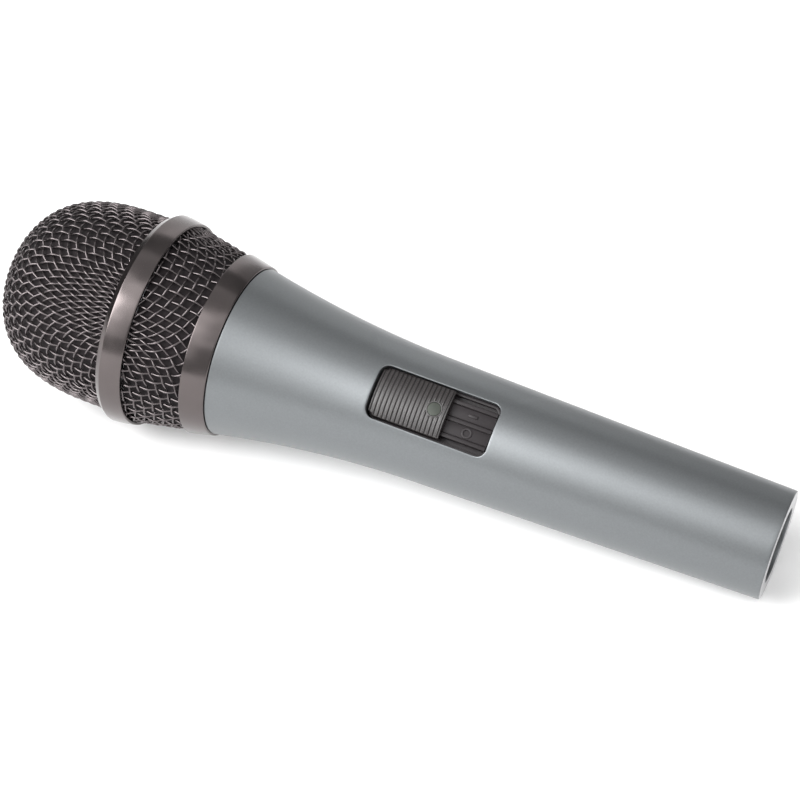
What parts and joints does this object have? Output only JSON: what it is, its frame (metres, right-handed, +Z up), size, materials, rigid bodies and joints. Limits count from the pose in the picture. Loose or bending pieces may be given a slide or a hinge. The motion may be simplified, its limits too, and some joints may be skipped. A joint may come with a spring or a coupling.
{
  "type": "handheld dynamic microphone",
  "caption": "Handheld vocal microphone: round woven grille with a middle ring, flared tapered handle, recessed slide switch and a three-pole connector socket in its end.",
  "frame": {"origin": "on the floor, at the middle of the microphone's box as it lies on its front ring and the rim of its connector end", "axes": "+X towards the connector end, +Z up; the switch faces up and towards -Y"},
  "size_m": [0.1778, 0.0478, 0.0476],
  "materials": {
    "handle_paint": "satin blue-grey metallic paint on an alloy shell",
    "ring_plating": "dark nickel plating, glossy",
    "grille_wire": "dark nickel plated woven wire",
    "grille_foam": "open-cell foam, matt",
    "black_plastic": "moulded plastic, satin",
    "slider_plastic": "moulded plastic, satin",
    "black_rubber": "matt",
    "neck_alloy": "turned",
    "bare_steel": "turned",
    "magnet_plating": "nickel plating",
    "brass_parts": "stamped",
    "film": "thin polyester film",
    "copper_wire": "enamelled copper winding",
    "felt": "pressed felt",
    "circuit_board": "laminate with solder mask",
    "tinned_contacts": "bright tin or silver plating",
    "reed_glass": "clear tube",
    "red_insulation": "insulated wire",
    "white_insulation": "insulated wire",
    "black_insulation": "insulated wire"
  },
  "bodies": {
    "handle": {"handle_shell": "handle_paint", "threaded_neck": "neck_alloy", "shock_mount": "black_rubber", "capsule_housing": "black_plastic", "capsule_cap": "black_plastic", "diaphragm_clamp": "brass_parts", "diaphragm_surround": "film", "pole_plate": "bare_steel", "magnet": "magnet_plating", "yoke": "bare_steel", "chamber_felt": "felt", "vent_felt": "felt", "terminal_board": "circuit_board", "capsule_terminals": "tinned_contacts", "switch_frame": "black_plastic", "frame_screw": "bare_steel", "switch_board": "circuit_board", "reed_switch": "reed_glass", "reed_leads": "tinned_contacts", "connector_insert": "black_plastic", "contact_pin_1": "tinned_contacts", "contact_pin_2": "tinned_contacts", "contact_pin_3": "tinned_contacts", "ground_tag": "brass_parts", "insert_screw": "bare_steel", "capsule_lead_hot": "red_insulation", "capsule_lead_cold": "white_insulation", "connector_lead_ground": "black_insulation", "connector_lead_hot": "red_insulation", "connector_lead_cold": "white_insulation"},
    "slider": {"switch_slider": "slider_plastic", "slider_magnet": "magnet_plating"},
    "moving_coil": {"diaphragm_dome": "film", "voice_coil": "copper_wire"},
    "washer": {"neck_washer": "black_rubber"},
    "grille": {"threaded_collar": "ring_plating", "rear_mesh": "grille_wire", "front_ring": "ring_plating", "front_mesh": "grille_wire", "mesh_hoop": "bare_steel", "rear_foam": "grille_foam", "front_foam": "grille_foam"}
  },
  "joints": [
    {"name": "switch_slide", "type": "slide", "parent": "handle", "child": "slider", "axis": [0.9965, 0, -0.0836], "range_m": [0, 0.0095]},
    {"name": "coil_travel", "type": "slide", "parent": "handle", "child": "moving_coil", "axis": [-0.9965, 0, 0.0836], "range_m": [-0.0002, 0.0002], "stiffness_N_per_m": 300},
    {"name": "grille_lift", "type": "slide", "parent": "handle", "child": "washer", "axis": [-0.9965, 0, 0.0836], "range_m": [0, 0.0046]},
    {"name": "grille_unscrew", "type": "hinge", "parent": "washer", "child": "grille", "pos_m": [-0.0354, 0, 0.02209], "axis": [-0.9965, 0, 0.0836], "range_deg": [0, 1620]}
  ],
  "couplings": [
    {"joint": "grille_lift", "follows": "grille_unscrew", "m_per_rad": 0.00015915}
  ]
}
